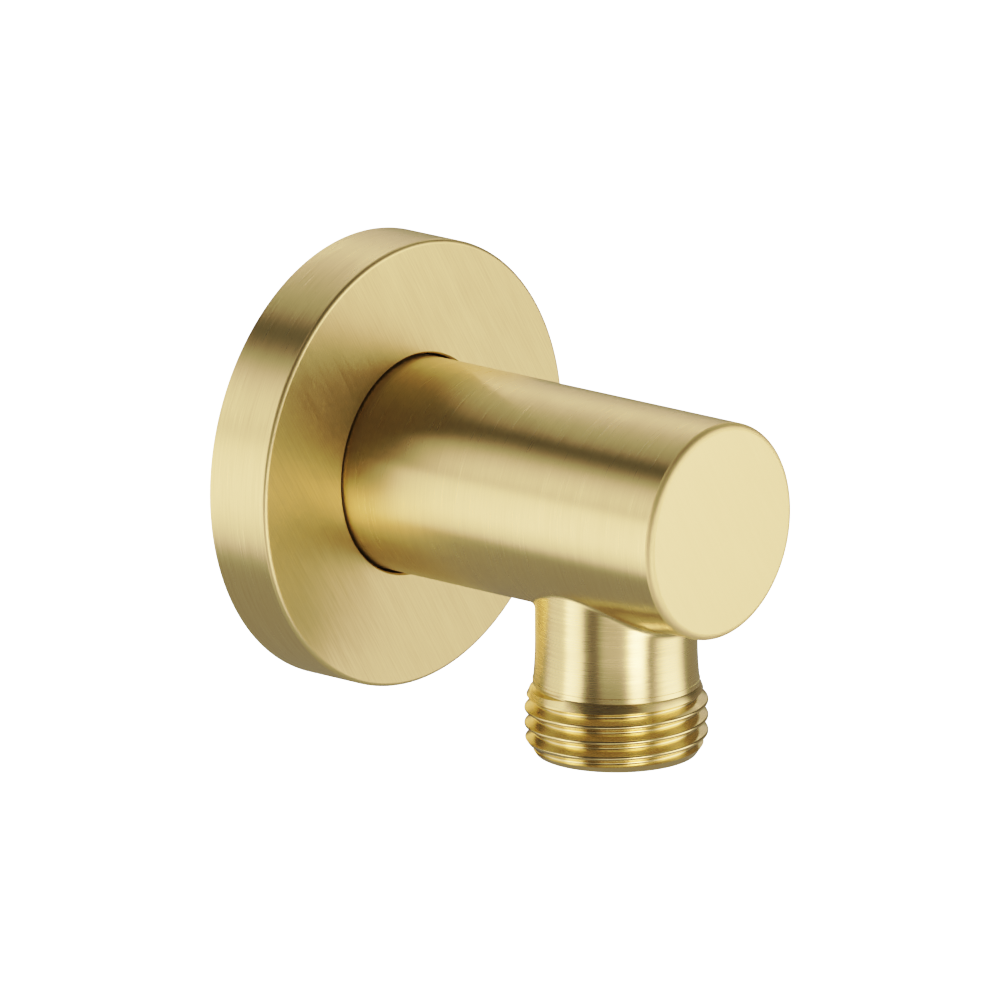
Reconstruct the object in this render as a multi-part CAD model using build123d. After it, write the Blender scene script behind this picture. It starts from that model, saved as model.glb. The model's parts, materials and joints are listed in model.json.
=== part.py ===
from build123d import *

import math
import os

# Wall outlet elbow: it takes water from a threaded fitting in the wall to a hand shower's hose.
# Sizes are in millimetres. The finished wall is the plane Y = 0, the barrel stands out of it along -Y
# and the outlet points down, along -Z. The origin is where the barrel's axis meets the wall.

# G 1/2 pipe thread, the size of both the inlet and the outlet
THREAD_DIAMETER = 20.955
THREAD_DEPTH = 1.16  # crest to root, in radius

# Barrel
BARREL_DIAMETER = 25.0
BARREL_SETBACK = 1.5  # wall to rear shoulder
BARREL_FRONT_RADIUS = 0.8
BARREL_LEAD_IN = 0.6  # chamfer that lets the sealing ring slide on from behind

# Inlet spigot behind the barrel
INLET_LENGTH = 14.0  # wall to the spigot's end
INLET_RELIEF_WIDTH = 1.0
INLET_RELIEF_STEP = 0.2  # how far the relief lies below the thread's root
INLET_CHAMFER = 1.2
INLET_BORE = 13.0

# Outlet spigot below the barrel
OUTLET_OFFSET = 38.5  # wall to the outlet's axis
OUTLET_TO_FRONT = 15.7  # outlet's axis to the barrel's front face
OUTLET_NECK_LENGTH = 7.9  # barrel's underside to the thread
OUTLET_NECK_STEP = 0.07  # how far the neck lies below the thread's root
OUTLET_FLARE = 0.3  # how far the neck widens, in radius, where it meets the thread
OUTLET_FLARE_LENGTH = 5.0
OUTLET_THREAD_LENGTH = 8.1  # with both of its chamfers
OUTLET_CHAMFER_RADIAL = 1.25
OUTLET_CHAMFER_AXIAL = 1.85
OUTLET_BORE = 12.0
OUTLET_MOUTH_CHAMFER = 0.5
JUNCTION_RADIUS = 1.0

# Drilled waterway
DRILL_POINT_ANGLE = 118.0
DRILL_OVERRUN = 1.0  # how far the inlet's bore runs past the outlet's bore

# Wall flange, a turned cover that slides on the barrel
FLANGE_DIAMETER = 52.0
FLANGE_DEPTH = 8.4
FLANGE_FACE_THICKNESS = 2.2
FLANGE_RIM_THICKNESS = 2.0
FLANGE_EDGE_RADIUS = 0.5
FLANGE_BORE_CLEARANCE = 0.3  # in radius, around the barrel
FLANGE_BORE_CHAMFER = 0.2
COLLAR_WALL = 3.0  # metal outside the ring's groove
COLLAR_SETBACK = 1.2  # wall to the collar's rear face

# Sealing ring that grips the barrel
RING_SECTION = 2.0
RING_SQUEEZE = 0.2  # section height lost between barrel and groove
RING_RUNNING_CLEARANCE = 0.03
RING_SIDE_ROOM = 0.4  # groove's width beyond the ring's section

# Sizes that follow from the ones above
BARREL_RADIUS = BARREL_DIAMETER / 2
BARREL_PROJECTION = OUTLET_OFFSET + OUTLET_TO_FRONT
THREAD_RADIUS = THREAD_DIAMETER / 2
THREAD_ROOT_RADIUS = THREAD_RADIUS - THREAD_DEPTH
INLET_BORE_RADIUS = INLET_BORE / 2
INLET_RELIEF_RADIUS = THREAD_ROOT_RADIUS - INLET_RELIEF_STEP
NECK_RADIUS = THREAD_ROOT_RADIUS - OUTLET_NECK_STEP
OUTLET_DROP = BARREL_RADIUS + OUTLET_NECK_LENGTH + OUTLET_THREAD_LENGTH
OUTLET_BORE_RADIUS = OUTLET_BORE / 2
FLANGE_RADIUS = FLANGE_DIAMETER / 2
FLANGE_BORE_RADIUS = BARREL_RADIUS + FLANGE_BORE_CLEARANCE
RING_INNER_RADIUS = BARREL_RADIUS + RING_RUNNING_CLEARANCE
RING_OUTER_RADIUS = RING_INNER_RADIUS + RING_SECTION - RING_SQUEEZE
RING_POSITION = -(FLANGE_DEPTH - FLANGE_FACE_THICKNESS + COLLAR_SETBACK) / 2
COLLAR_RADIUS = RING_OUTER_RADIUS + COLLAR_WALL

# Carries what is turned about Y to the outlet's upright axis
OUTLET_PLACE = Pos(0, -OUTLET_OFFSET, 0) * Rot(X=90)


def turned(outline):
    """Solid turned about the Y axis from a closed outline of (radius, Y) points."""
    return revolve(make_face(Polyline(*outline, close=True)), Axis.Y)


def barrel_and_inlet():
    """Outside of the barrel and of the threaded spigot behind it, turned about one axis."""
    thread_start = -BARREL_SETBACK + INLET_RELIEF_WIDTH
    blank = turned(
        [
            (0, -BARREL_PROJECTION),
            (BARREL_RADIUS, -BARREL_PROJECTION),
            (BARREL_RADIUS, -BARREL_SETBACK - BARREL_LEAD_IN),
            (BARREL_RADIUS - BARREL_LEAD_IN, -BARREL_SETBACK),
            (INLET_RELIEF_RADIUS, -BARREL_SETBACK),
            (INLET_RELIEF_RADIUS, thread_start),
            (THREAD_RADIUS, thread_start),
            (THREAD_RADIUS, INLET_LENGTH - INLET_CHAMFER),
            (THREAD_RADIUS - INLET_CHAMFER, INLET_LENGTH),
            (0, INLET_LENGTH),
        ]
    )
    front_edge = blank.edges().group_by(Axis.Y)[0]
    return fillet(front_edge, BARREL_FRONT_RADIUS)


def outlet_spigot():
    """Outside of the outlet: a neck that flares into the hose thread, turned about its own upright axis."""
    thread_top = -OUTLET_DROP + OUTLET_THREAD_LENGTH
    flare_radius = NECK_RADIUS + OUTLET_FLARE
    flare_start = (NECK_RADIUS, thread_top + OUTLET_FLARE_LENGTH)
    top_chamfer = THREAD_RADIUS - flare_radius
    flare = TangentArc(flare_start, (flare_radius, thread_top), tangent=(0, -1))
    rest = Polyline(
        (flare_radius, thread_top),
        (THREAD_RADIUS, thread_top - top_chamfer),
        (THREAD_RADIUS, -OUTLET_DROP + OUTLET_CHAMFER_AXIAL),
        (THREAD_RADIUS - OUTLET_CHAMFER_RADIAL, -OUTLET_DROP),
        (0, -OUTLET_DROP),
        (0, 0),
        (NECK_RADIUS, 0),
        flare_start,
    )
    return OUTLET_PLACE * revolve(make_face(flare + rest), Axis.Y)


def waterway():
    """Space drilled from behind and from below, which meets inside the barrel."""
    drill_end = -OUTLET_OFFSET - OUTLET_BORE_RADIUS - DRILL_OVERRUN
    point_length = INLET_BORE_RADIUS / math.tan(math.radians(DRILL_POINT_ANGLE / 2))
    inlet = turned(
        [
            (0, drill_end - point_length),
            (INLET_BORE_RADIUS, drill_end),
            (INLET_BORE_RADIUS, INLET_LENGTH),
            (0, INLET_LENGTH),
        ]
    )
    mouth_radius = OUTLET_BORE_RADIUS + OUTLET_MOUTH_CHAMFER
    outlet = turned(
        [
            (0, 0),
            (OUTLET_BORE_RADIUS, 0),
            (OUTLET_BORE_RADIUS, -OUTLET_DROP + OUTLET_MOUTH_CHAMFER),
            (mouth_radius, -OUTLET_DROP),
            (0, -OUTLET_DROP),
        ]
    )
    return inlet + OUTLET_PLACE * outlet


def elbow_body():
    """Barrel, inlet and outlet as one brass piece, with a fillet where the outlet leaves the barrel."""
    barrel = barrel_and_inlet()
    spigot = outlet_spigot()
    outside = barrel + spigot
    junction = new_edges(barrel, spigot, combined=outside)
    return fillet(junction, JUNCTION_RADIUS) - waterway()


def wall_flange():
    """Round cover, hollow behind, with a collar that holds the sealing ring against the barrel."""
    face_back = -FLANGE_DEPTH + FLANGE_FACE_THICKNESS
    groove_half_width = (RING_SECTION + RING_SIDE_ROOM) / 2
    groove_front = RING_POSITION - groove_half_width
    groove_back = RING_POSITION + groove_half_width
    blank = turned(
        [
            (FLANGE_BORE_RADIUS + FLANGE_BORE_CHAMFER, -FLANGE_DEPTH),
            (FLANGE_RADIUS, -FLANGE_DEPTH),
            (FLANGE_RADIUS, 0),
            (FLANGE_RADIUS - FLANGE_RIM_THICKNESS, 0),
            (FLANGE_RADIUS - FLANGE_RIM_THICKNESS, face_back),
            (COLLAR_RADIUS, face_back),
            (COLLAR_RADIUS, -COLLAR_SETBACK),
            (FLANGE_BORE_RADIUS, -COLLAR_SETBACK),
            (FLANGE_BORE_RADIUS, groove_back),
            (RING_OUTER_RADIUS, groove_back),
            (RING_OUTER_RADIUS, groove_front),
            (FLANGE_BORE_RADIUS, groove_front),
            (FLANGE_BORE_RADIUS, -FLANGE_DEPTH + FLANGE_BORE_CHAMFER),
        ]
    )
    front_edges = blank.edges().group_by(Axis.Y)[0]
    rim_edge = front_edges.sort_by(SortBy.RADIUS)[-1]
    return fillet(rim_edge, FLANGE_EDGE_RADIUS)


def flange_o_ring():
    """Rubber ring, pressed flat where it meets the groove and the barrel."""
    middle_radius = (RING_INNER_RADIUS + RING_OUTER_RADIUS) / 2
    round_section = Pos(middle_radius, RING_POSITION) * Circle(RING_SECTION / 2)
    pressed = Pos(middle_radius, RING_POSITION) * Rectangle(RING_SECTION - RING_SQUEEZE, 2 * RING_SECTION)
    return revolve(round_section & pressed, Axis.Y)


os.makedirs("parts", exist_ok=True)
export_step(elbow_body(), "parts/elbow_body.step")
export_step(wall_flange(), "parts/wall_flange.step")
export_step(flange_o_ring(), "parts/flange_o_ring.step")
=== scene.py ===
"""A wall outlet elbow in brushed brass, dressed around its CAD frame.

The elbow, its sliding cover flange and the sealing ring are modelled afresh at the frame's sizes, with
real pipe threads and a finish of its own on each worked surface. Lengths are in metres.
"""

import json
import math

import bmesh
import bpy
from bpy.props import FloatProperty, FloatVectorProperty, PointerProperty
from mathutils import Matrix, Vector


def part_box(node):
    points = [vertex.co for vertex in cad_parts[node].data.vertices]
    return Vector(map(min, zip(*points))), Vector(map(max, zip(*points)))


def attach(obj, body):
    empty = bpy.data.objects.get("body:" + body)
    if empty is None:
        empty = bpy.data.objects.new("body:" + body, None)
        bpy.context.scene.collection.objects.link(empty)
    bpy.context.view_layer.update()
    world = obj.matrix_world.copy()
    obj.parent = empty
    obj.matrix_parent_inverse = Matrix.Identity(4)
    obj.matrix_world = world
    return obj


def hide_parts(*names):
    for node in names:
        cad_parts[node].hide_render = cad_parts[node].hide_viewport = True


bl_info = {
    "name": "Wall Outlet Elbow",
    "version": (1, 0, 0),
    "blender": (4, 5, 0),
    "location": "View3D > Sidebar > Outlet Elbow",
    "description": "Builds a brushed brass wall outlet elbow with a cover flange, in a small studio",
    "category": "Add Mesh",
}

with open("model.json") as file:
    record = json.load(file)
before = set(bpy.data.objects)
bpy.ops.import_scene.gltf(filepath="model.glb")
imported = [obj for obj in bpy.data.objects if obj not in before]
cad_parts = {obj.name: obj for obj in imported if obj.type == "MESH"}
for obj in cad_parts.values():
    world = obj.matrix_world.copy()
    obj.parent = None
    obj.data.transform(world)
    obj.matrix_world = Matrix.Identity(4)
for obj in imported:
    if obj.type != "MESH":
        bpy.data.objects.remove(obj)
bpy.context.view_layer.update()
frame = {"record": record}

MM = 0.001
WELD = 1e-6
FULL_TURN = 2 * math.pi
QUARTER_TURN = math.pi / 2
X_AXIS = Vector((1, 0, 0))
Y_AXIS = Vector((0, 1, 0))
Z_AXIS = Vector((0, 0, 1))

ELBOW_LOW, ELBOW_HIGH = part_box("elbow_body")
FLANGE_LOW, FLANGE_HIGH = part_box("wall_flange")
RING_LOW, RING_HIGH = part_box("flange_o_ring")
MOUNTS = {mount["name"]: mount for mount in frame["record"]["mounts"]}
OUTLET_MOUNT = MOUNTS["outlet_thread"]
OUTLET_FOOT = Vector((0, OUTLET_MOUNT["pos_m"][1], 0))


# Settings


def length(name, description, default):
    """A length setting in metres."""
    return FloatProperty(name=name, description=description, default=default, unit="LENGTH", precision=5)


def angle(name, description, degrees):
    """An angle setting, given in degrees and kept in radians."""
    default = math.radians(degrees)
    return FloatProperty(name=name, description=description, default=default, subtype="ANGLE")


def colour(name, description, default):
    """A colour setting."""
    return FloatVectorProperty(
        name=name, description=description, default=default, subtype="COLOR", size=3, min=0, max=1
    )


class ElbowSizes(bpy.types.PropertyGroup):
    """Sizes of the elbow's body."""

    barrel_radius: length("Barrel radius", "Radius of the barrel", ELBOW_HIGH.x)
    front: length("Front", "Place of the barrel's front face along Y", ELBOW_LOW.y)
    front_round: length("Front rounding", "Rounding of the barrel's front edge", 0.8 * MM)
    shoulder: length("Shoulder", "Place of the barrel's rear shoulder along Y", -1.5 * MM)
    lead_in: length("Lead-in", "Chamfer on the barrel's rear edge", 0.6 * MM)
    relief_radius: length("Relief radius", "Radius of the relief behind the barrel", 9.1175 * MM)
    inlet_start: length("Inlet start", "Where the inlet's thread begins along Y", -0.5 * MM)
    inlet_end: length("Inlet end", "Place of the inlet's end along Y", ELBOW_HIGH.y)
    inlet_chamfer: length("Inlet chamfer", "Chamfer on the inlet's end", 1.2 * MM)
    inlet_bore: length("Inlet bore", "Radius of the waterway in the barrel", 6.5 * MM)
    drill_end: length("Drill end", "Where the inlet's full bore ends along Y", -45.5 * MM)
    neck_radius: length("Neck radius", "Radius of the outlet's neck", 9.2475 * MM)
    neck_flare: length("Neck flare", "How far the neck widens where it meets the thread", 0.3 * MM)
    flare_height: length("Flare height", "Height over which the neck widens", 5.0 * MM)
    bead: length("Bead", "How far the fine bead that ends the brushed neck stands proud", 0.05 * MM)
    bead_rise: length("Bead rise", "Height of that bead above the thread", 0.55 * MM)
    junction_round: length("Junction rounding", "Fillet between the barrel and the neck", 1.0 * MM)
    outlet_end: length("Outlet end", "Height of the outlet's end", ELBOW_LOW.z)
    thread_height: length("Thread height", "Height of the outlet's threaded stretch", 8.1 * MM)
    end_chamfer_width: length("End chamfer width", "Chamfer at the outlet's end, across", 1.25 * MM)
    end_chamfer_height: length("End chamfer height", "Chamfer at the outlet's end, upwards", 1.85 * MM)
    outlet_bore: length("Outlet bore", "Radius of the waterway in the outlet", 6.0 * MM)
    mouth_chamfer: length("Mouth chamfer", "Chamfer at the outlet's mouth", 0.5 * MM)


class ThreadSizes(bpy.types.PropertyGroup):
    """Sizes of the G 1/2 pipe thread that both ends carry, and of the outlet's first crest and groove."""

    radius: length("Crest radius", "Radius over the crests", OUTLET_MOUNT["dims"]["r_mm"] * MM)
    pitch: length("Pitch", "Distance from crest to crest", 1.814 * MM)
    depth: length("Depth", "Distance from crest to root", 1.162 * MM)
    rounding: length("Rounding", "Radius of crest and root", 0.249 * MM)
    flank: angle("Flank", "Lean of the flanks from straight out", 27.5)
    crest_height: length("Crest height", "Height of an outlet crest at the crest bearing", -23.34 * MM)
    crest_bearing: angle("Crest bearing", "Bearing of that crest, from X towards Y", 130.8)
    open_start: length("Opening start", "Height at which the groove begins to open upwards", -21.9 * MM)
    open_end: length("Opening end", "Height at which the open groove begins to fade", -20.5 * MM)
    run_out: length("Run-out", "Height at which the groove has faded out", -20.05 * MM)
    worn_crest: length("Worn crest", "How far the first crest is worn below the others", 0.43 * MM)
    worn_height: length("Worn height", "Height of the slope above the first crest", 1.05 * MM)
    shoulder: length("Shoulder", "Chamfer where that slope begins", 0.15 * MM)


class FlangeSizes(bpy.types.PropertyGroup):
    """Sizes of the cover flange and of the sealing ring inside it."""

    radius: length("Radius", "Radius of the flange", FLANGE_HIGH.x)
    front: length("Front", "Place of the flange's face along Y", FLANGE_LOW.y)
    back: length("Back", "Place of the rim's rear edge along Y", FLANGE_HIGH.y)
    edge_round: length("Edge rounding", "Rounding of the front edge", 0.5 * MM)
    face_thickness: length("Face thickness", "Thickness of the front plate", 2.2 * MM)
    rim_thickness: length("Rim thickness", "Thickness of the rim", 2.0 * MM)
    bore: length("Bore radius", "Radius of the hole for the barrel", 12.8 * MM)
    bore_chamfer: length("Bore chamfer", "Chamfer at the hole's front edge", 0.2 * MM)
    collar_radius: length("Collar radius", "Radius of the collar behind the face", 17.33 * MM)
    collar_back: length("Collar back", "Place of the collar's rear face along Y", -1.2 * MM)
    groove_room: length("Groove room", "Width of the ring's groove beyond the ring's section", 0.4 * MM)
    ring_radius: length("Ring radius", "Outer radius of the sealing ring and of its groove", RING_HIGH.x)
    ring_inner: length("Ring inner radius", "Inner radius of the sealing ring", 12.53 * MM)
    ring_section: length("Ring section", "Diameter of the ring's section", RING_HIGH.y - RING_LOW.y)


class BrassFinish(bpy.types.PropertyGroup):
    """Colours of the brass and of the rubber, and the scale of the brushing."""

    pale: colour("Pale brass", "Colour on the ridges of the brushing", (0.86, 0.725, 0.45))
    deep: colour("Deep brass", "Colour in the hollows of the brushing", (0.70, 0.58, 0.35))
    rubber: colour("Rubber", "Colour of the sealing ring", (0.018, 0.018, 0.019))
    dust: colour("Dust", "Colour of the dust on the sealing ring", (0.06, 0.06, 0.06))
    streak_width: length("Streak width", "Width of the finest brush marks", 0.16 * MM)
    streak_length: length("Streak length", "Length of the brush marks", 7 * MM)


class StageSettings(bpy.types.PropertyGroup):
    """Camera and studio."""

    azimuth: angle("Azimuth", "Bearing of the camera, from the front towards X", -49.15)
    elevation: angle("Elevation", "Height of the camera above the horizon", 15.40)
    roll: angle("Roll", "Turn of the camera about its line of sight", -0.18)
    distance: length("Distance", "Distance of the camera from the origin", 2.0098)
    aim_right: length("Aim right", "How far right of the origin the picture's middle lies", 15.984 * MM)
    aim_up: length("Aim up", "How far above the origin the picture's middle lies", -5.631 * MM)
    lens: FloatProperty(name="Lens", description="Focal length", default=630.63, unit="CAMERA")
    floor_height: length("Floor height", "Height of the floor", -1.4)
    floor_reach: length("Floor reach", "Distance to the studio's curved wall", 2.4)
    floor_bend: length("Floor bend", "Radius of the curve between floor and wall", 0.6)
    wall_height: length("Wall height", "Height of the studio's wall", 4.8)
    light_distance: length("Light distance", "Distance of the softboxes from the elbow", 0.8)
    light_scale: FloatProperty(name="Light scale", description="Strength of light", default=1.15, min=0)
    light: colour("Light", "Colour of the softboxes", (1.0, 0.88, 0.66))
    room: colour("Room light", "Colour of the dim light from all round", (1.0, 0.94, 0.78))
    paper: colour("Paper", "Colour of the floor and the curved wall", (0.9, 0.9, 0.9))


# Modelling helpers

ROUND_SEGMENTS = 8
WALL_MARGIN = 0.1 * MM
SHARP_EDGE = math.radians(32)


def everything(bm):
    """All geometry of a mesh."""
    return bm.verts[:] + bm.edges[:] + bm.faces[:]


def of_kind(items, kind):
    """The vertices, the edges or the faces among mixed geometry."""
    return [item for item in items if isinstance(item, kind)]


def at_height(item, height):
    """Whether an edge or a face lies level at a height."""
    return all(abs(vert.co.z - height) < WELD for vert in item.verts)


def off_axis(place):
    """Distance from the Y axis, about which the barrel and the flange are turned."""
    return math.hypot(place.x, place.z)


def on_wall(face, radius):
    """Whether a face of a turned mesh lies on its outer wall."""
    return off_axis(face.calc_center_median()) > radius - WALL_MARGIN


def front_faces(faces, front):
    """Faces of a turned mesh that lie in its front plane."""
    return [face for face in faces if face.calc_center_median().y < front + WELD]


def paint(faces, slot):
    """Gives faces a material slot."""
    for face in faces:
        face.material_index = slot


def chain(bm, places):
    """New vertices in a row, and the edges between them."""
    verts = [bm.verts.new(place) for place in places]
    return verts + [bm.edges.new(pair) for pair in zip(verts, verts[1:])]


def revolve(bm, outline, axis, side, steps):
    """Spins an outline of (radius, distance along the axis) points right round the axis."""
    old_faces = set(bm.faces)
    row = chain(bm, [side * radius + axis * along for radius, along in outline])
    bmesh.ops.spin(bm, geom=row, axis=axis, angle=FULL_TURN, steps=steps, use_merge=True)
    bmesh.ops.remove_doubles(bm, verts=bm.verts, dist=WELD)
    return [face for face in bm.faces if face not in old_faces]


def grow(bm, rings):
    """Extrudes a closed loop of vertices through rings of places and returns the faces it sweeps."""
    rank = bm.verts.layers.int.new("rank")
    loop = [bm.verts.new(place) for place in rings[0]]
    for number, vert in enumerate(loop):
        vert[rank] = number
    edges = [bm.edges.new(pair) for pair in zip(loop, loop[1:] + loop[:1])]
    faces = []
    for ring in rings[1:]:
        made = bmesh.ops.extrude_edge_only(bm, edges=edges)["geom"]
        verts = set(of_kind(made, bmesh.types.BMVert))
        for vert in verts:
            vert.co = ring[vert[rank]]
        edges = [edge for edge in of_kind(made, bmesh.types.BMEdge) if verts.issuperset(edge.verts)]
        faces += of_kind(made, bmesh.types.BMFace)
    return faces


def trim(bm, place, outward, near=0):
    """Cuts a mesh off at a plane. A vertex this near the plane counts as lying on it."""
    bmesh.ops.bisect_plane(
        bm, geom=everything(bm), plane_co=place, plane_no=outward, clear_outer=True, dist=near
    )


def round_edges(bm, edges, offset, segments):
    """Rounds edges and returns the faces of the rounding."""
    rounding = bmesh.ops.bevel(
        bm, geom=edges, offset=offset, segments=segments, profile=0.5, affect="EDGES", material=-1
    )
    return rounding["faces"]


def ring_edges(bm, along, radius):
    """Edges of a turned mesh that run round it at one place along Y."""

    def on_ring(vert):
        return abs(vert.co.y - along) < WELD and abs(off_axis(vert.co) - radius) < WELD

    return [edge for edge in bm.edges if all(on_ring(vert) for vert in edge.verts)]


def round_ring(bm, along, radius, offset, slot):
    """Rounds the edge that runs round a turned mesh at one place, and paints the rounding."""
    paint(round_edges(bm, ring_edges(bm, along, radius), offset, ROUND_SEGMENTS), slot)


def add_object(name, data):
    """New object in the scene that shows a mesh, a camera or a light."""
    made = bpy.data.objects.new(name, data)
    bpy.context.scene.collection.objects.link(made)
    return made


def mesh_object(name, bm):
    """New object that holds a finished bmesh."""
    bmesh.ops.recalc_face_normals(bm, faces=bm.faces)
    mesh = bpy.data.meshes.new(name)
    bm.to_mesh(mesh)
    bm.free()
    return add_object(name, mesh)


def closed_object(name, bm):
    """New object that holds a finished bmesh. Stops the script where that isn't a closed shell."""
    open_edges = sum(not edge.is_manifold for edge in bm.edges)
    if open_edges:
        raise RuntimeError(f"{name} has {open_edges} open edges")
    return mesh_object(name, bm)


def discard(helper):
    """Removes a helper object and its mesh."""
    mesh = helper.data
    bpy.data.objects.remove(helper)
    bpy.data.meshes.remove(mesh)


def cut(target, tool, operation):
    """Applies an exact boolean between two closed objects, and removes the tool."""
    modifier = target.modifiers.new(operation, "BOOLEAN")
    modifier.operation = operation
    modifier.solver = "EXACT"
    modifier.object = tool
    graph = bpy.context.evaluated_depsgraph_get()
    mesh = bpy.data.meshes.new_from_object(target.evaluated_get(graph))
    old_mesh = target.data
    target.modifiers.clear()
    target.data = mesh
    bpy.data.meshes.remove(old_mesh)
    discard(tool)


def shade(piece):
    """Smooth shading with crisp edges, where large faces keep their own normals."""
    piece.data.shade_smooth()
    piece.data.set_sharp_from_angle(angle=SHARP_EDGE)
    weighted = piece.modifiers.new("Weighted normals", "WEIGHTED_NORMAL")
    weighted.keep_sharp = True


# Elbow body

BARREL_COLUMNS = 192
WINDOW_COLUMNS = 72
WINDOW_ROWS = 56
WINDOW_REACH = 13.0 * MM
WINDOW_ROW = 2 * WINDOW_REACH / WINDOW_ROWS
COLUMN_TURN = FULL_TURN / BARREL_COLUMNS
WINDOW_TURN = WINDOW_COLUMNS / 2 * COLUMN_TURN
NECK_RING = 2 * (WINDOW_COLUMNS + WINDOW_ROWS)
FLARE_STEPS = 8
BEAD_ROWS = 2
NECK_ROWS = 8
FILLET_ROWS = 8
SPREAD_ROWS = 6
THREAD_STEPS = 128
THREAD_ARC = 4
BORE_COLUMNS = 96
# Half the angle of the drill's point
DRILL_POINT = math.radians(59)
# How far rods, blanks and drills reach past what they shape, and how many turns a rod has to spare
SPARE = 0.3 * MM
SPARE_TURNS = 2
INLET_LEAD_TURNS = 3
# How near to a rod's cut end a vertex counts as lying on it
CUT_WELD = WELD / 10
# The outlet's blank narrows towards the worn crest from this many turns below the top of the thread
WORN_TURNS = 1.4
# Rise of the cone at which the inlet's thread starts, for each step outwards
START_RISE = 0.5

# Parts of the elbow's surface, in the order of its material slots
ELBOW_PARTS = ("barrel", "end_face", "front_edge", "neck", "thread", "bore")
BARREL, END_FACE, FRONT_EDGE, NECK, THREAD, BORE = range(len(ELBOW_PARTS))


def in_window(face, sizes):
    """Whether a face of the barrel lies where the outlet's neck grows out of it."""
    middle = face.calc_center_median()
    below = abs(math.atan2(middle.x, -middle.z)) < WINDOW_TURN
    within_reach = abs(middle.y - OUTLET_FOOT.y) < WINDOW_REACH
    return on_wall(face, sizes.barrel_radius) and below and within_reach


def relief_middle(sizes):
    """Where the barrel's mesh and the inlet's meet along Y, halfway across the relief."""
    return (sizes.shoulder + sizes.inlet_start) / 2


def barrel_shell(bm, sizes):
    """Barrel from its front face to the relief behind it, with a window left open for the neck."""
    radius = sizes.barrel_radius
    window_front = OUTLET_FOOT.y - WINDOW_REACH
    outline = [(0, sizes.front), (radius, sizes.front)]
    outline += [(radius, window_front + row * WINDOW_ROW) for row in range(WINDOW_ROWS + 1)]
    outline += [
        (radius, sizes.shoulder - sizes.lead_in),
        (radius - sizes.lead_in, sizes.shoulder),
        (sizes.relief_radius, sizes.shoulder),
        (sizes.relief_radius, relief_middle(sizes)),
    ]
    faces = revolve(bm, outline, Y_AXIS, -Z_AXIS, BARREL_COLUMNS)
    paint(faces, BARREL)
    paint(front_faces(faces, sizes.front), END_FACE)
    bmesh.ops.delete(bm, geom=[face for face in faces if in_window(face, sizes)], context="FACES")
    round_ring(bm, sizes.front, radius, sizes.front_round, FRONT_EDGE)


def window_edge(number):
    """Where point number of the neck's rings meets the window, as (turn from straight down, along)."""
    left = (number + WINDOW_ROWS // 2) % NECK_RING
    if left < WINDOW_ROWS:
        return WINDOW_TURN, left * WINDOW_ROW - WINDOW_REACH
    left -= WINDOW_ROWS
    if left < WINDOW_COLUMNS:
        return WINDOW_TURN - left * COLUMN_TURN, WINDOW_REACH
    left -= WINDOW_COLUMNS
    if left < WINDOW_ROWS:
        return -WINDOW_TURN, WINDOW_REACH - left * WINDOW_ROW
    left -= WINDOW_ROWS
    return left * COLUMN_TURN - WINDOW_TURN, -WINDOW_REACH


def thread_top(sizes):
    """Height at which the outlet's thread ends and its neck begins."""
    return sizes.outlet_end + sizes.thread_height


def joint_rise(sizes):
    """Height above the thread, just under the bead, at which the neck's mesh meets the thread's."""
    return sizes.bead_rise - sizes.bead


def flared_radius(sizes, rise):
    """Radius of the neck at a height above the thread."""
    arc = (sizes.flare_height**2 + sizes.neck_flare**2) / (2 * sizes.neck_flare)
    drop = sizes.flare_height - rise
    return sizes.neck_radius + arc - math.sqrt(arc**2 - drop**2)


def flare_rows(sizes):
    """Rows of the flare from the bead up, as (height above the thread, how far it stands proud)."""
    bead = sizes.bead
    middle = sizes.bead_rise
    above = middle + bead
    rows = [(joint_rise(sizes), 0), (middle - bead / 2, bead), (middle + bead / 2, bead), (above, 0)]
    stretch = sizes.flare_height - above
    rows += [(above + stretch * step / FLARE_STEPS, 0) for step in range(1, FLARE_STEPS)]
    return rows


def neck_column(number, sizes):
    """Places of one column of the neck: up from the thread, round the fillet and out to the window."""
    bearing = FULL_TURN * number / NECK_RING
    out = Vector((math.cos(bearing), math.sin(bearing), 0))
    wall = OUTLET_FOOT + out * sizes.neck_radius
    flare_top = thread_top(sizes) + sizes.flare_height
    ball = sizes.junction_round
    reach = sizes.barrel_radius + ball
    side = (sizes.neck_radius + ball) * out.x
    ball_height = -math.sqrt(reach**2 - side**2)
    centre = wall + out * ball + Z_AXIS * ball_height
    to_barrel = Vector((-centre.x, 0, -centre.z)).normalized()
    column = []
    for rise, proud in flare_rows(sizes):
        radius = flared_radius(sizes, rise) + proud
        column.append(OUTLET_FOOT + out * radius + Z_AXIS * (thread_top(sizes) + rise))
    for row in range(NECK_ROWS):
        column.append(wall + Z_AXIS * (flare_top + (ball_height - flare_top) * row / NECK_ROWS))
    for row in range(FILLET_ROWS):
        column.append(centre + ball * (-out).slerp(to_barrel, row / FILLET_ROWS))
    start = Vector((math.asin(side / reach), centre.y - OUTLET_FOOT.y))
    goal = Vector(window_edge(number))
    for row in range(SPREAD_ROWS + 1):
        turn, along = start.lerp(goal, row / SPREAD_ROWS)
        around = Vector((math.sin(turn), 0, -math.cos(turn)))
        column.append(OUTLET_FOOT + around * sizes.barrel_radius + Y_AXIS * along)
    return column


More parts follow.
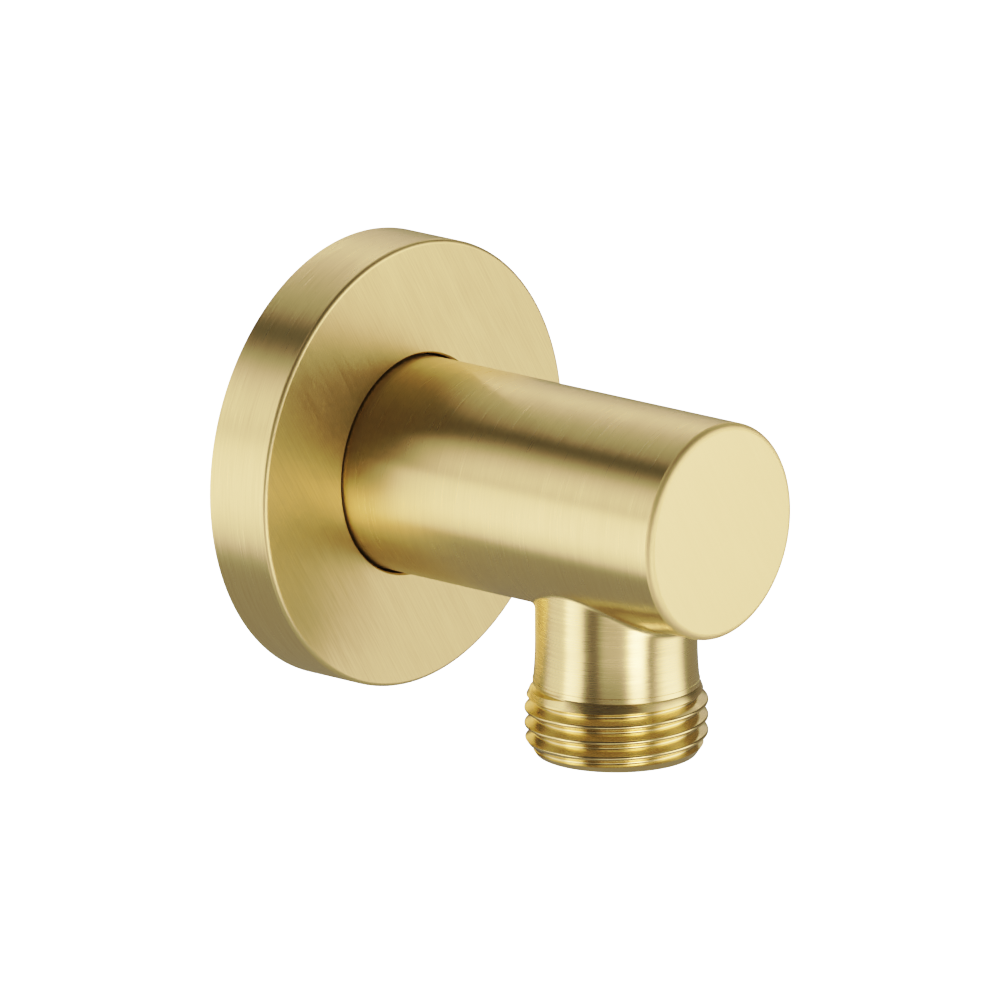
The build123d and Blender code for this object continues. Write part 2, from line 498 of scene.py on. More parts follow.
def neck_shell(bm, sizes):
    """Neck of the outlet, from its bead to the window in the barrel's wall."""
    columns = [neck_column(number, sizes) for number in range(NECK_RING)]
    faces = grow(bm, list(zip(*columns)))
    bright_faces = BEAD_ROWS * NECK_RING
    wall_faces = (len(flare_rows(sizes)) + NECK_ROWS + FILLET_ROWS // 2) * NECK_RING
    paint(faces[:bright_faces], THREAD)
    paint(faces[bright_faces:wall_faces], NECK)
    paint(faces[wall_faces:], BARREL)


def thread_outline(thread):
    """One pitch of the thread from crest to crest, as (depth, distance along) points."""
    lean = QUARTER_TURN - thread.flank
    turns = [lean * step / THREAD_ARC for step in range(THREAD_ARC + 1)]
    arc = [(thread.rounding * (1 - math.cos(turn)), thread.rounding * math.sin(turn)) for turn in turns]
    root = [(thread.depth - depth, thread.pitch / 2 - along) for depth, along in reversed(arc)]
    half = arc + root
    return half + [(depth, thread.pitch - along) for depth, along in reversed(half[:-1])]


def threaded_rod(thread, start, turns):
    """Strip about Z that is a right-hand thread, with its first crest at X and at the start's height."""
    bm = bmesh.new()
    places = [(thread.radius - depth, 0, start + along) for depth, along in thread_outline(thread)]
    bmesh.ops.spin(
        bm,
        geom=chain(bm, places),
        axis=Z_AXIS,
        dvec=Z_AXIS * thread.pitch / THREAD_STEPS,
        angle=FULL_TURN,
        steps=THREAD_STEPS,
    )
    first_turn = everything(bm)
    for number in range(1, turns):
        copied = bmesh.ops.duplicate(bm, geom=first_turn)["geom"]
        verts = of_kind(copied, bmesh.types.BMVert)
        bmesh.ops.translate(bm, vec=Z_AXIS * thread.pitch * number, verts=verts)
    bmesh.ops.remove_doubles(bm, verts=bm.verts, dist=WELD)
    return bm


def ease(value, start, end):
    """Smooth step from 0 at the start to 1 at the end."""
    share = min(max((value - start) / (end - start), 0), 1)
    return share * share * (3 - 2 * share)


def run_out_groove(bm, thread, start, top, top_radius):
    """Opens the groove towards the top and then lets it fade, as where the cutting tool is drawn back."""
    root_radius = thread.radius - thread.depth
    for vert in bm.verts:
        lead = start + thread.pitch * (math.atan2(vert.co.y, vert.co.x) % FULL_TURN) / FULL_TURN
        groove = math.floor((vert.co.z - lead) / thread.pitch)
        middle = lead + (groove + 0.5) * thread.pitch
        radius = vert.co.xy.length
        target = radius
        if middle < vert.co.z < top:
            slope = root_radius + (top_radius - root_radius) * (vert.co.z - middle) / (top - middle)
            target += (min(slope, radius) - radius) * ease(middle, thread.open_start, thread.open_end)
        target += (thread.radius - target) * ease(middle, thread.open_end, thread.run_out)
        if vert.co.z > top - SPARE / 2:
            target = max(target, top_radius + SPARE)
        vert.co.xy *= target / radius


def cap(bm, height, direction):
    """Cuts a rod off square at a height and closes its end."""
    trim(bm, Z_AXIS * height, Z_AXIS * direction, near=CUT_WELD)
    rim = [edge for edge in bm.edges if edge.is_boundary and at_height(edge, height)]
    bmesh.ops.contextual_create(bm, geom=rim)


def threaded_plug(name, rod, outline, steps):
    """A threaded rod trimmed to a turned outline of (radius, height) points about Z."""
    heights = [height for _, height in outline]
    cap(rod, min(heights) - SPARE, -1)
    cap(rod, max(heights) + SPARE, 1)
    paint(rod.faces, THREAD)
    plug = closed_object(name, rod)
    blank = bmesh.new()
    paint(revolve(blank, outline, Z_AXIS, X_AXIS, steps), THREAD)
    cut(plug, mesh_object(name + "_blank", blank), "INTERSECT")
    return plug


def outlet_plug(sizes, thread):
    """Threaded end of the outlet, about its own upright axis."""
    top = thread_top(sizes)
    joint = top + joint_rise(sizes)
    joint_radius = flared_radius(sizes, joint_rise(sizes))
    neck_radius = flared_radius(sizes, 0)
    clear = thread.radius + SPARE
    end_radius = thread.radius - sizes.end_chamfer_width
    chamfer_rise = sizes.end_chamfer_height / sizes.end_chamfer_width
    worn_top = top - thread.worn_height
    outline = [
        (0, sizes.outlet_end),
        (end_radius, sizes.outlet_end),
        (clear, sizes.outlet_end + (clear - end_radius) * chamfer_rise),
        (clear, top - WORN_TURNS * thread.pitch),
        (thread.radius - thread.worn_crest, worn_top),
        (neck_radius + thread.shoulder, top - thread.shoulder),
        (neck_radius, top),
        (joint_radius, joint),
        (0, joint),
    ]
    phase = thread.crest_height - thread.pitch * thread.crest_bearing / FULL_TURN
    below = math.ceil((phase - sizes.outlet_end) / thread.pitch) + SPARE_TURNS
    start = phase - below * thread.pitch
    turns = math.ceil((joint - start) / thread.pitch) + SPARE_TURNS
    rod = threaded_rod(thread, start, turns)
    run_out_groove(rod, thread, start, joint, joint_radius)
    plug = threaded_plug("outlet_plug", rod, outline, NECK_RING)
    paint([face for face in plug.data.polygons if worn_top < face.center.z < joint - WELD], NECK)
    return plug


def inlet_plug(sizes, thread):
    """Threaded spigot that goes into the wall's fitting, upright until it is turned to its place."""
    clear = thread.radius + SPARE
    end_radius = thread.radius - sizes.inlet_chamfer
    outline = [
        (0, relief_middle(sizes)),
        (sizes.relief_radius, relief_middle(sizes)),
        (sizes.relief_radius, sizes.inlet_start),
        (clear, sizes.inlet_start + (clear - sizes.relief_radius) * START_RISE),
        (clear, sizes.inlet_end - (clear - end_radius)),
        (end_radius, sizes.inlet_end),
        (0, sizes.inlet_end),
    ]
    start = sizes.shoulder - INLET_LEAD_TURNS * thread.pitch
    turns = math.ceil((sizes.inlet_end - start) / thread.pitch) + SPARE_TURNS
    return threaded_plug("inlet_plug", threaded_rod(thread, start, turns), outline, BARREL_COLUMNS)


def take_in(bm, plug, place, joint):
    """Adds a plug's mesh at its place, without the disc at the height where it joins the body."""
    plug_mesh = bmesh.new()
    plug_mesh.from_mesh(plug.data)
    disc = [face for face in plug_mesh.faces if at_height(face, joint)]
    bmesh.ops.delete(plug_mesh, geom=disc, context="FACES")
    plug_mesh.transform(place)
    plug_mesh.to_mesh(plug.data)
    plug_mesh.free()
    bm.from_mesh(plug.data)
    discard(plug)


def drill(name, outline, axis, side, place):
    """A drill of the waterway, as a closed object: an outline turned about an axis at its place."""
    bm = bmesh.new()
    paint(revolve(bm, outline, axis, side, BORE_COLUMNS), BORE)
    bmesh.ops.translate(bm, vec=place, verts=bm.verts)
    return mesh_object(name, bm)


def inlet_drill(sizes):
    """Drill that goes in from the inlet and ends in a cone."""
    outline = [
        (0, sizes.drill_end - sizes.inlet_bore / math.tan(DRILL_POINT)),
        (sizes.inlet_bore, sizes.drill_end),
        (sizes.inlet_bore, sizes.inlet_end + SPARE),
        (0, sizes.inlet_end + SPARE),
    ]
    return drill("inlet_drill", outline, Y_AXIS, -Z_AXIS, Vector())


def outlet_drill(sizes):
    """Drill that goes up from the outlet to the barrel's axis, with a chamfer at its mouth."""
    mouth = sizes.outlet_bore + sizes.mouth_chamfer
    outline = [
        (0, 0),
        (sizes.outlet_bore, 0),
        (sizes.outlet_bore, sizes.outlet_end + sizes.mouth_chamfer),
        (mouth + SPARE, sizes.outlet_end - SPARE),
        (0, sizes.outlet_end - SPARE),
    ]
    return drill("outlet_drill", outline, Z_AXIS, X_AXIS, OUTLET_FOOT)


def make_elbow(sizes, thread):
    """The elbow's body as one closed shell, with both threads and the drilled waterway."""
    bm = bmesh.new()
    barrel_shell(bm, sizes)
    neck_shell(bm, sizes)
    joint = thread_top(sizes) + joint_rise(sizes)
    take_in(bm, outlet_plug(sizes, thread), Matrix.Translation(OUTLET_FOOT), joint)
    upright_to_y = Matrix.Rotation(-QUARTER_TURN, 4, "X")
    take_in(bm, inlet_plug(sizes, thread), upright_to_y, relief_middle(sizes))
    bmesh.ops.remove_doubles(bm, verts=bm.verts, dist=WELD)
    piece = closed_object("elbow", bm)
    cut(piece, inlet_drill(sizes), "DIFFERENCE")
    cut(piece, outlet_drill(sizes), "DIFFERENCE")
    shade(piece)
    return piece


# Cover flange and sealing ring

FLANGE_STEPS = 256
RING_SEGMENTS = 32
RING_STEPS = 192

# Parts of the flange's surface, in the order of its material slots
FLANGE_PARTS = ("rim", "face", "edge", "back")
RIM, FACE, EDGE, BACK = range(len(FLANGE_PARTS))


def ring_place(sizes):
    """Middle of the sealing ring along Y."""
    return (sizes.front + sizes.face_thickness + sizes.collar_back) / 2


def make_flange(sizes):
    """Turned cover: a plate with a rim, and a collar behind it with a groove for the sealing ring."""
    plate_back = sizes.front + sizes.face_thickness
    inner_rim = sizes.radius - sizes.rim_thickness
    half_groove = (sizes.ring_section + sizes.groove_room) / 2
    groove_front = ring_place(sizes) - half_groove
    groove_back = ring_place(sizes) + half_groove
    outline = [
        (sizes.bore + sizes.bore_chamfer, sizes.front),
        (sizes.radius, sizes.front),
        (sizes.radius, sizes.back),
        (inner_rim, sizes.back),
        (inner_rim, plate_back),
        (sizes.collar_radius, plate_back),
        (sizes.collar_radius, sizes.collar_back),
        (sizes.bore, sizes.collar_back),
        (sizes.bore, groove_back),
        (sizes.ring_radius, groove_back),
        (sizes.ring_radius, groove_front),
        (sizes.bore, groove_front),
        (sizes.bore, sizes.front + sizes.bore_chamfer),
        (sizes.bore + sizes.bore_chamfer, sizes.front),
    ]
    bm = bmesh.new()
    faces = revolve(bm, outline, Y_AXIS, -Z_AXIS, FLANGE_STEPS)
    paint(faces, BACK)
    paint(front_faces(faces, sizes.front), FACE)
    paint([face for face in faces if on_wall(face, sizes.radius)], RIM)
    round_ring(bm, sizes.front, sizes.radius, sizes.edge_round, EDGE)
    piece = closed_object("flange", bm)
    shade(piece)
    return piece


def make_sealing_ring(sizes):
    """Rubber ring whose round section is pressed flat by the groove and by the barrel."""
    bm = bmesh.new()
    middle = (sizes.ring_inner + sizes.ring_radius) / 2
    place = Matrix.Translation((middle, ring_place(sizes), 0))
    section = sizes.ring_section / 2
    bmesh.ops.create_circle(bm, cap_ends=False, segments=RING_SEGMENTS, radius=section, matrix=place)
    for wall, direction in ((sizes.ring_inner, -1), (sizes.ring_radius, 1)):
        trim(bm, X_AXIS * wall, X_AXIS * direction)
        flat = [vert for vert in bm.verts if abs(vert.co.x - wall) < WELD]
        bm.edges.new(flat)
    geometry = everything(bm)
    bmesh.ops.spin(bm, geom=geometry, axis=Y_AXIS, angle=FULL_TURN, steps=RING_STEPS, use_merge=True)
    bmesh.ops.remove_doubles(bm, verts=bm.verts, dist=WELD)
    piece = closed_object("sealing_ring", bm)
    shade(piece)
    return piece


# Finishes

# How brushing lies, as (direction across the marks, turn that lays a pattern's Y in that direction)
ROUND_BARREL = (Y_AXIS, (0, 0, 0))
ROUND_OUTLET = (Z_AXIS, (QUARTER_TURN, 0, 0))
# The flange's face and the barrel's end are brushed along a slant, down to the right
SLANT = math.radians(32.5)
ALONG_SLANT = (Vector((math.cos(SLANT), 0, math.sin(SLANT))), (0, SLANT, QUARTER_TURN))

# Brushed parts: how the brushing lies, roughness, share of deep brass, contrast of the marks,
# anisotropy, and how far the marks lean the surface. A share of deep brass of 0.5 gives the even
# tone. Above 0.5 it paints shade into a part's colour, and below 0.5 it paints a highlight.
BRUSHED = {
    "barrel": (ROUND_BARREL, 0.29, 0.5, 0.55, 0.87, 0.012),
    # The end face's extra deep brass is painted shade.
    "end_face": (ALONG_SLANT, 0.30, 0.7, 0.2, 0, 0),
    # The front edge's brass is paler than pale brass: a painted highlight on the rounding.
    "front_edge": (ROUND_BARREL, 0.6, -0.3, 0.2, 0, 0),
    "neck": (ROUND_OUTLET, 0.28, 0.5, 0.6, 0.7, 0.015),
    "rim": (ROUND_BARREL, 0.30, 0.5, 0.8, 0.8, 0.02),
    # The flange's face's extra deep brass is painted shade.
    "face": (ALONG_SLANT, 0.42, 0.8, 1.0, 0.6, 0.03),
    "edge": (ROUND_BARREL, 0.45, 0.5, 0.3, 0, 0),
}
# Turned parts: roughness, axis round which the tool marks run, and their spacing
TURNED = {
    "thread": (0.2, "Z", 0.12 * MM),
    "bore": (0.3, "Y", 0.2 * MM),
    "back": (0.35, "Y", 0.25 * MM),
}
# What the values of a noise pattern mostly lie between
NOISE_RANGE = (0.3, 0.7)
# Soft bands, long lines and clouds of the brushing, against the length and width of its marks
BAND_LENGTH = 2
BAND_WIDTH = 6
LINE_LENGTH = 12
CLOUD_SQUEEZE = 2
BAND_SHARE = 0.15
CLOUD_SHARE = 0.15
BRUSH_RELIEF = 1e-6
# How far roughness swings about its middle value
ROUGHNESS_SWING = 0.15
# Tool marks: what a wave of scale 1 measures, how it strays, and how much of it shows
WAVE_LENGTH = 0.314
WAVE_DISTORTION = 1.5
WAVE_DETAIL = 2
TOOL_MARK_SHARE = 0.25
TOOL_MARK_RELIEF = 2e-7
# Turned brass: clouds per metre, and the share of pale brass in its darker and its lighter parts
TURNED_CLOUDS = 250
TURNED_TONES = (0.315, 0.615)
# Rubber: moulded grains and clouds of dust per metre, and how it shines
RUBBER_GRAINS = 6000
RUBBER_DUST = 400
DUST_SHARE = 0.5
GRAIN_RELIEF = 8e-6
RUBBER_ROUGHNESS = (0.55, 0.75)
RUBBER_SPECULAR = 0.35


class NodeDesk:
    """A node tree, with short ways to add nodes and join them."""

    def __init__(self, tree):
        self.tree = tree

    def put(self, node, values):
        """Gives a node's inputs their values, or other nodes' outputs."""
        for socket, value in values.items():
            if isinstance(value, bpy.types.NodeSocket):
                self.tree.links.new(value, node.inputs[socket])
            else:
                node.inputs[socket].default_value = value

    def add(self, kind, label, values, **settings):
        """New node with a label, what its inputs get, and settings of its own."""
        node = self.tree.nodes.new("ShaderNode" + kind)
        node.label = label
        for setting, value in settings.items():
            setattr(node, setting, value)
        self.put(node, values)
        return node

    def number_math(self, label, operation, *terms):
        """Result of one operation on numbers."""
        return self.add("Math", label, dict(enumerate(terms)), operation=operation).outputs["Value"]

    def span(self, label, source, shown, usual=NOISE_RANGE, interpolation="LINEAR"):
        """Values spread from their usual range to the one that is shown."""
        values = dict(zip(("From Min", "From Max", "To Min", "To Max"), (*usual, *shown)))
        node = self.add("MapRange", label, {"Value": source, **values}, interpolation_type=interpolation)
        return node.outputs["Result"]


class MaterialDesk(NodeDesk):
    """A new material's node tree around one shader, with the patterns that finishes are made of."""

    def __init__(self, name):
        self.material = bpy.data.materials.new(name)
        self.material.use_nodes = True
        super().__init__(self.material.node_tree)
        self.tree.nodes.clear()
        self.shader = self.add("BsdfPrincipled", "Surface", {})
        self.add("OutputMaterial", "Output", {"Surface": self.shader.outputs["BSDF"]})

    def surface(self, values):
        """Gives the shader's inputs their values, or patterns."""
        self.put(self.shader, values)

    def place(self):
        """Object coordinates, as a place on the piece."""
        return self.add("TexCoord", "Place on the piece", {}).outputs["Object"]

    def lie(self, turn, scale):
        """Place on the piece, turned and then stretched for a pattern."""
        turned = self.add("Mapping", "Turn", {"Vector": self.place(), "Rotation": turn})
        values = {"Vector": turned.outputs["Vector"], "Scale": scale}
        return self.add("Mapping", "Stretch", values).outputs["Vector"]

    def even(self, scale):
        """Place on the piece for a pattern that is the same in all directions."""
        return self.lie((0, 0, 0), (scale, scale, scale))

    def noise(self, label, place, detail=2, roughness=0.5):
        """Noise in the units of its place."""
        values = {"Vector": place, "Scale": 1, "Detail": detail, "Roughness": roughness}
        return self.add("TexNoise", label, values).outputs["Fac"]

    def blend(self, label, first, second, share):
        """Weighted sum of two patterns."""
        return self.add("Mix", label, {"Factor": share, "A": first, "B": second}).outputs["Result"]

    def tint(self, label, source, low, high):
        """Surface colour between two tints, by a pattern."""
        node = self.add("ValToRGB", label, {"Fac": source})
        for stop, position, shown in zip(node.color_ramp.elements, NOISE_RANGE, (low, high)):
            stop.position = position
            stop.color = (*shown, 1)
        self.surface({"Base Color": node.outputs["Color"]})

    def roughen(self, source, low, high):
        """Surface roughness between two values, by a pattern."""
        self.surface({"Roughness": self.span("Roughness", source, (low, high))})

    def relief(self, label, source, height):
        """Bump of a pattern whose full range stands this high."""
        node = self.add("Bump", label, {"Strength": 1, "Distance": height, "Height": source})
        self.surface({"Normal": node.outputs["Normal"]})
        return node

    def vector_math(self, label, operation, values):
        """Result of one operation on vectors."""
        return self.add("VectorMath", label, values, operation=operation).outputs["Vector"]

    def leaning_normal(self, source, across, most):
        """Normal that leans to and fro along the brush marks by a pattern, so that reflections fray."""
        normal = self.add("NewGeometry", "Surface", {}).outputs["Normal"]
        along = self.vector_math("Along the brushing", "CROSS_PRODUCT", {0: across, 1: normal})
        amount = self.span("Amount of lean", source, (-most, most))
        lean = self.vector_math("Lean", "SCALE", {"Vector": along, "Scale": amount})
        return self.vector_math("Leaning normal", "ADD", {0: normal, 1: lean})

    def grain_across(self, direction):
        """Direction across the brush marks, in which they spread the reflections."""
        node = self.add("CombineXYZ", "Across the brushing", dict(zip("XYZ", direction)))
        self.surface({"Tangent": node.outputs["Vector"]})


def mixed(first, second, share):
    """Colour part of the way from one to another."""
    return tuple(a + (b - a) * share for a, b in zip(first, second))


def brushed_brass(name, finish, brushing, roughness, depth, contrast, anisotropy, lean):
    """Brass brushed in one direction: fine marks that tint it, roughen it and spread its reflections."""
    desk = MaterialDesk(name)
    desk.surface({"Metallic": 1, "Anisotropic": anisotropy})
    across, turn = brushing
    thin = 1 / finish.streak_width
    long = 1 / finish.streak_length
    band = long / BAND_LENGTH
    line = long / LINE_LENGTH
    marks = desk.noise("Brush marks", desk.lie(turn, (long, thin, long)), detail=3, roughness=0.7)
    bands = desk.noise("Soft bands", desk.lie(turn, (band, thin / BAND_WIDTH, band)))
    lines = desk.noise("Brush lines", desk.lie(turn, (line, thin, line)))
    clouds = desk.noise("Clouds", desk.lie(turn, (long, long * CLOUD_SQUEEZE, long)))
    streaks = desk.blend("Brushing", marks, bands, BAND_SHARE)
    tone = desk.blend("Tone", streaks, clouds, CLOUD_SHARE)
    # The marks swing the tint about the part's share of deep brass. A share above 0.5 paints shade into
    # the brass, and a share below 0.5 paints a highlight.
    darker = mixed(finish.pale, finish.deep, depth + contrast / 2)
    lighter = mixed(finish.pale, finish.deep, depth - contrast / 2)
    desk.tint("Brass", tone, darker, lighter)
    spread = ROUGHNESS_SWING * contrast
    desk.roughen(streaks, roughness * (1 + spread), roughness * (1 - spread))
    relief = desk.relief("Brush relief", lines, BRUSH_RELIEF * contrast)
    if anisotropy:
        desk.put(relief, {"Normal": desk.leaning_normal(marks, across, lean)})
        desk.grain_across(across)
    return desk.material


def turned_brass(name, finish, roughness, axis, spacing):
    """Brass as the lathe leaves it, with faint tool marks that run round an axis."""
    desk = MaterialDesk(name)
    desk.surface({"Metallic": 1})
    values = {
        "Vector": desk.place(),
        "Scale": WAVE_LENGTH / spacing,
        "Distortion": WAVE_DISTORTION,
        "Detail": WAVE_DETAIL,
    }
    wave = desk.add("TexWave", "Tool marks", values, wave_type="BANDS", bands_direction=axis)
    marks = wave.outputs["Fac"]
    clouds = desk.noise("Clouds", desk.even(TURNED_CLOUDS), detail=3)
    tone = desk.blend("Tone", clouds, marks, TOOL_MARK_SHARE)
    darker, lighter = (mixed(finish.deep, finish.pale, share) for share in TURNED_TONES)
    desk.tint("Brass", tone, darker, lighter)
    desk.roughen(tone, roughness * (1 + ROUGHNESS_SWING), roughness * (1 - ROUGHNESS_SWING))
    desk.relief("Tool marks' relief", marks, TOOL_MARK_RELIEF)
    return desk.material


def brass(part, finish):
    """Brass of one part of the surface, brushed or turned."""
    name = part + "_brass"
    if part in BRUSHED:
        return brushed_brass(name, finish, *BRUSHED[part])
    return turned_brass(name, finish, *TURNED[part])


def seal_rubber(name, finish):
    """Matt black rubber with a fine moulded grain."""
    desk = MaterialDesk(name)
    desk.surface({"Specular IOR Level": RUBBER_SPECULAR})
    grain = desk.noise("Moulded grain", desk.even(RUBBER_GRAINS), detail=3, roughness=0.6)
    dust = desk.noise("Dust", desk.even(RUBBER_DUST))
    desk.tint("Rubber", dust, finish.rubber, mixed(finish.rubber, finish.dust, DUST_SHARE))
    desk.roughen(grain, *RUBBER_ROUGHNESS)
    desk.relief("Grain relief", grain, GRAIN_RELIEF)
    return desk.material


# Stage

# Softboxes: bearing from X towards Y, rise, half width and half height in degrees, then the share of
# the way from the middle to the edges over which they fade, and radiance
SOFTBOXES = (
    ("left_softbox", 135, 2, 42, 42, 0.7, 0.9),
    ("left_upper_softbox", 126, 28, 22, 15, 0.3, 0.5),
    ("left_inner_softbox", 161, -12, 17, 30, 0.4, 1.5),
    ("front_fill", 220, -26, 24, 18, 0.5, 0.8),
    ("front_softbox", 251, -20, 17, 25, 0.8, 4.5),
    ("front_upper_softbox", 276, 20, 22, 30, 0.6, 0.4),
    ("right_softbox", 302, 0, 32, 38, 0.8, 2.1),
    ("rear_right_softbox", 0, -10, 35, 30, 0.6, 0.1),
    ("overhead_softbox", 48, 36, 40, 32, 0.3, 0.5),
    ("overhead_strip", 49, 36, 35, 2, 0.3, 2.6),
)
# Place of a softbox's middle, and so its distance from the edges, where the whole width is 1
SOFTBOX_MIDDLE = 0.5
# Dim light from all round, as (height of the direction from -1 to 1, brightness)
ROOM_LIGHT = ((-1, 0.25), (-0.7, 0.25), (-0.3, 0.15), (0.2, 0.08), (1, 0.08))
# Film response: scene brightness to shown brightness, on the curve that all three colours share
FILM_WHITE = 3.5
FILM_CURVE = ((0.03, 0.015), (0.1, 0.09), (0.3, 0.34), (1.0, 0.75), (2.0, 0.93))
SHARED_CURVE = 3
FLOOR_STEPS = 96
BEND_SEGMENTS = 16
PAPER_ROUGHNESS = 0.95
PAPER_SPECULAR = 0.1


def set_camera(stage):
    """Camera at the photograph's viewing angle."""
    data = bpy.data.cameras.new("camera")
    data.lens = stage.lens
    camera = add_object("camera", data)
    turn = Matrix.Rotation(stage.azimuth, 4, "Z")
    turn = turn @ Matrix.Rotation(QUARTER_TURN - stage.elevation, 4, "X")
    turn = turn @ Matrix.Rotation(stage.roll, 4, "Z")
    camera.matrix_world = turn @ Matrix.Translation((stage.aim_right, stage.aim_up, stage.distance))
    bpy.context.scene.camera = camera


def feather(light, share):
    """Lets a softbox fade towards its edges, over a share of the way from its middle."""
    light.use_nodes = True
    desk = NodeDesk(light.node_tree)
    place = desk.add("NewGeometry", "Place on the softbox", {}).outputs["Parametric"]
    sides = desk.add("SeparateXYZ", "Across and up", {"Vector": place}).outputs
    fading = (SOFTBOX_MIDDLE * (1 - share), SOFTBOX_MIDDLE)
    fades = []
    for side in "XY":
        offset = desk.number_math("From the middle", "SUBTRACT", sides[side], SOFTBOX_MIDDLE)
        distance = desk.number_math("Distance", "ABSOLUTE", offset)
        fades.append(desk.span("Fade", distance, (1, 0), fading, "SMOOTHSTEP"))
    both = desk.number_math("Both ways", "MULTIPLY", *fades)
    desk.put(desk.tree.nodes["Emission"], {"Strength": both})


def set_softbox(stage, name, bearing, rise, half_width, half_height, feathered, radiance):
    """Rectangular softbox that faces the elbow and stays out of the camera's sight."""
    width = 2 * stage.light_distance * math.tan(math.radians(half_width))
    height = 2 * stage.light_distance * math.tan(math.radians(half_height))
    data = bpy.data.lights.new(name, "AREA")
    data.shape = "RECTANGLE"
    data.size = width
    data.size_y = height
    data.color = stage.light
    data.energy = math.pi * width * height * radiance * stage.light_scale
    feather(data, feathered)
    softbox = add_object(name, data)
    turn = Matrix.Rotation(math.radians(bearing) + QUARTER_TURN, 4, "Z")
    turn = turn @ Matrix.Rotation(QUARTER_TURN - math.radians(rise), 4, "X")
    softbox.matrix_world = turn @ Matrix.Translation((0, 0, stage.light_distance))
    softbox.visible_camera = False


def studio_paper(stage):
    """White paper that glows, so that it comes out white in every view."""
    desk = MaterialDesk("studio_paper")
    desk.surface(
        {
            "Base Color": (*stage.paper, 1),
            "Roughness": PAPER_ROUGHNESS,
            "Specular IOR Level": PAPER_SPECULAR,
            "Emission Color": (1, 1, 1, 1),
            "Emission Strength": FILM_WHITE,
        }
    )
    return desk.material


def set_floor(stage):
    """Pale floor that curves up into a wall all round. The brass mirrors the softboxes, not the paper."""
    level = stage.floor_height
    reach = stage.floor_reach
    bend = stage.floor_bend
    bm = bmesh.new()
    outline = [(0, level), (reach, level), (reach, level + stage.wall_height)]
    revolve(bm, outline, Z_AXIS, X_AXIS, FLOOR_STEPS)
    level_edges = [edge for edge in bm.edges if at_height(edge, level)]
    corner = [edge for edge in level_edges if all(vert.co.xy.length > bend for vert in edge.verts)]
    round_edges(bm, corner, bend, BEND_SEGMENTS)
    floor = mesh_object("paper_floor", bm)
    floor.data.shade_smooth()
    floor.data.materials.append(studio_paper(stage))
    floor.visible_glossy = False
    floor.visible_diffuse = False
    floor.visible_shadow = False


def set_room_light(stage):
    """Dim light from the room, brighter below the horizon than above it."""
    world = bpy.data.worlds.new("room")
    world.use_nodes = True
    desk = NodeDesk(world.node_tree)
    direction = desk.add("TexCoord", "Direction", {}).outputs["Generated"]
    parts = desk.add("SeparateXYZ", "Parts of the direction", {"Vector": direction})
    height = desk.span("Height", parts.outputs["Z"], (0, 1), (-1, 1))
    ramp = desk.add("ValToRGB", "Brightness", {"Fac": height})
    stops = ramp.color_ramp.elements
    while len(stops) < len(ROOM_LIGHT):
        stops.new(0.5)
    for stop, (where, brightness) in zip(stops, ROOM_LIGHT):
        stop.position = (where + 1) / 2
        stop.color = (*(brightness * channel for channel in stage.room), 1)
    light = {"Color": ramp.outputs["Color"], "Strength": stage.light_scale}
    desk.put(desk.tree.nodes["Background"], light)
    bpy.context.scene.world = world


def set_film():
    """Film response with a soft shoulder, so that bright brass turns pale instead of burning out."""
    view = bpy.context.scene.view_settings
    view.view_transform = "Standard"
    view.use_curve_mapping = True
    mapping = view.curve_mapping
    mapping.white_level = (FILM_WHITE, FILM_WHITE, FILM_WHITE)
    curve = mapping.curves[SHARED_CURVE]
    for brightness, shown in FILM_CURVE:
        curve.points.new(brightness / FILM_WHITE, shown)
    for point in curve.points:
        point.handle_type = "AUTO_CLAMPED"
    mapping.update()


# Operators


class OUTLET_OT_elbow(bpy.types.Operator):
    """Build the elbow's body with its two threads and its waterway"""

    bl_idname = "outlet_elbow.elbow"
    bl_label = "Elbow body"

    def execute(self, context):
        settings = context.scene.outlet_elbow
        piece = make_elbow(settings.elbow, settings.thread)
        for part in ELBOW_PARTS:
            piece.data.materials.append(brass(part, settings.finish))
        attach(piece, "elbow")
        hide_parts("elbow_body")
        return {"FINISHED"}


class OUTLET_OT_flange(bpy.types.Operator):
    """Build the cover flange that slides on the barrel"""

    bl_idname = "outlet_elbow.flange"
    bl_label = "Cover flange"

    def execute(self, context):
        settings = context.scene.outlet_elbow
        piece = make_flange(settings.flange)
        for part in FLANGE_PARTS:
            piece.data.materials.append(brass(part, settings.finish))
        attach(piece, "flange")
        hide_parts("wall_flange")
        return {"FINISHED"}


class OUTLET_OT_sealing_ring(bpy.types.Operator):
    """Build the rubber ring inside the flange"""

    bl_idname = "outlet_elbow.sealing_ring"
    bl_label = "Sealing ring"

    def execute(self, context):
        settings = context.scene.outlet_elbow
        piece = make_sealing_ring(settings.flange)
        piece.data.materials.append(seal_rubber("ring_rubber", settings.finish))
        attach(piece, "flange")
        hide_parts("flange_o_ring")
        return {"FINISHED"}


class OUTLET_OT_stage(bpy.types.Operator):
    """Set the camera, the floor and the lights"""

    bl_idname = "outlet_elbow.stage"
    bl_label = "Stage"

    def execute(self, context):
        stage = context.scene.outlet_elbow.stage
        set_camera(stage)
        set_floor(stage)
        for softbox in SOFTBOXES:
            set_softbox(stage, *softbox)
        set_room_light(stage)
        set_film()
        return {"FINISHED"}


# Panel and registration


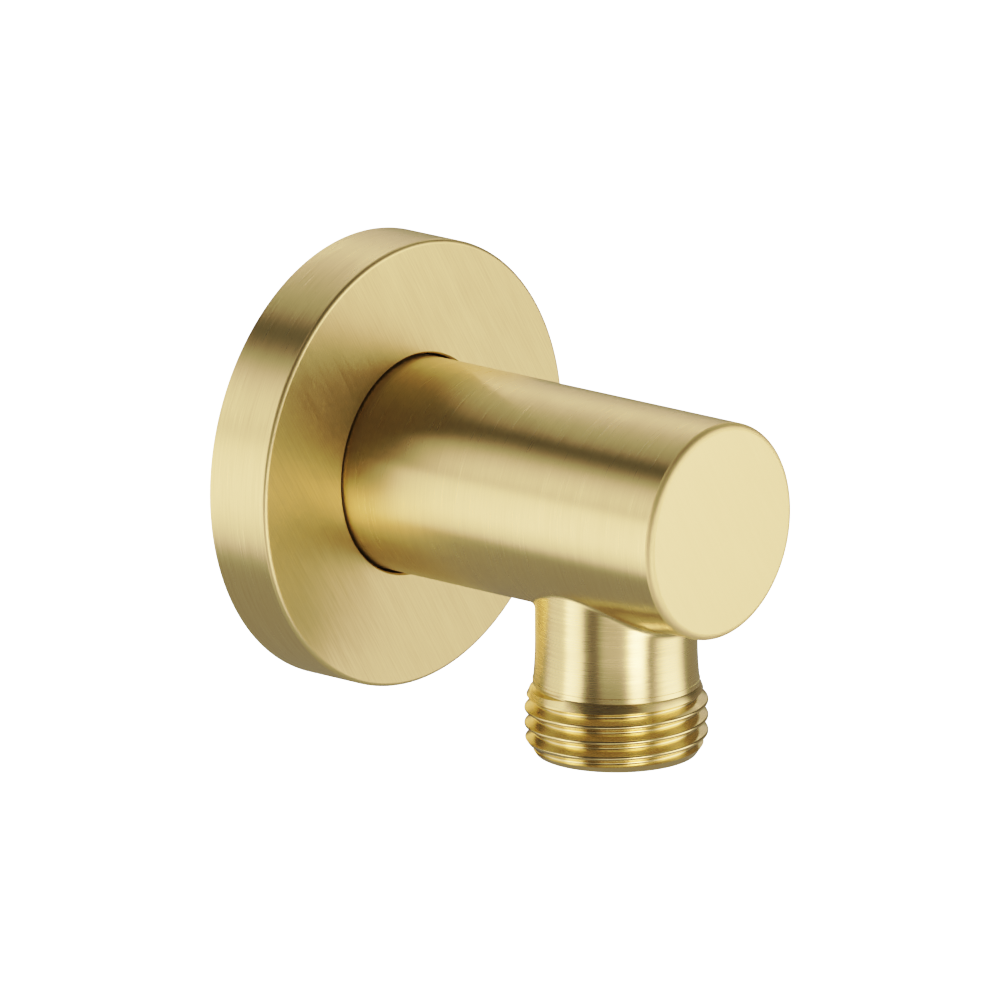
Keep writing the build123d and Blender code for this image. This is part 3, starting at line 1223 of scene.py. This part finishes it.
class OutletElbow(bpy.types.PropertyGroup):
    """All settings of the outlet elbow."""

    elbow: PointerProperty(type=ElbowSizes, name="Elbow", description="Sizes of the elbow's body")
    thread: PointerProperty(type=ThreadSizes, name="Thread", description="Sizes of the threads")
    flange: PointerProperty(type=FlangeSizes, name="Flange", description="Sizes of flange and ring")
    finish: PointerProperty(type=BrassFinish, name="Finish", description="Colours and brushing")
    stage: PointerProperty(type=StageSettings, name="Stage", description="Camera and studio")


# Each row of the panel: a group of settings, and the buttons that build from it
PANEL_ROWS = (
    ("elbow", (OUTLET_OT_elbow.bl_idname,)),
    ("thread", ()),
    ("flange", (OUTLET_OT_flange.bl_idname, OUTLET_OT_sealing_ring.bl_idname)),
    ("finish", ()),
    ("stage", (OUTLET_OT_stage.bl_idname,)),
)


class OUTLET_PT_panel(bpy.types.Panel):
    """Settings and build buttons of the outlet elbow"""

    bl_idname = "OUTLET_PT_panel"
    bl_label = "Outlet Elbow"
    bl_space_type = "VIEW_3D"
    bl_region_type = "UI"
    bl_category = "Outlet Elbow"

    def draw(self, context):
        settings = context.scene.outlet_elbow
        for name, buttons in PANEL_ROWS:
            box = self.layout.box()
            box.label(text=settings.bl_rna.properties[name].name)
            group = getattr(settings, name)
            for key in group.bl_rna.properties.keys():
                if key not in ("rna_type", "name"):
                    box.prop(group, key)
            for button in buttons:
                box.operator(button)


SETTINGS = (ElbowSizes, ThreadSizes, FlangeSizes, BrassFinish, StageSettings, OutletElbow)
OPERATORS = (OUTLET_OT_elbow, OUTLET_OT_flange, OUTLET_OT_sealing_ring, OUTLET_OT_stage)
CLASSES = (*SETTINGS, *OPERATORS, OUTLET_PT_panel)


def register():
    """Registers the classes and gives the scene its settings."""
    for cls in CLASSES:
        bpy.utils.register_class(cls)
    bpy.types.Scene.outlet_elbow = PointerProperty(type=OutletElbow)


def unregister():
    """Removes the settings and the classes."""
    del bpy.types.Scene.outlet_elbow
    for cls in reversed(CLASSES):
        bpy.utils.unregister_class(cls)


def main():
    """Builds the pieces and the stage in order."""
    register()
    bpy.ops.outlet_elbow.elbow()
    bpy.ops.outlet_elbow.flange()
    bpy.ops.outlet_elbow.sealing_ring()
    bpy.ops.outlet_elbow.stage()


if __name__ == "__main__":
    main()
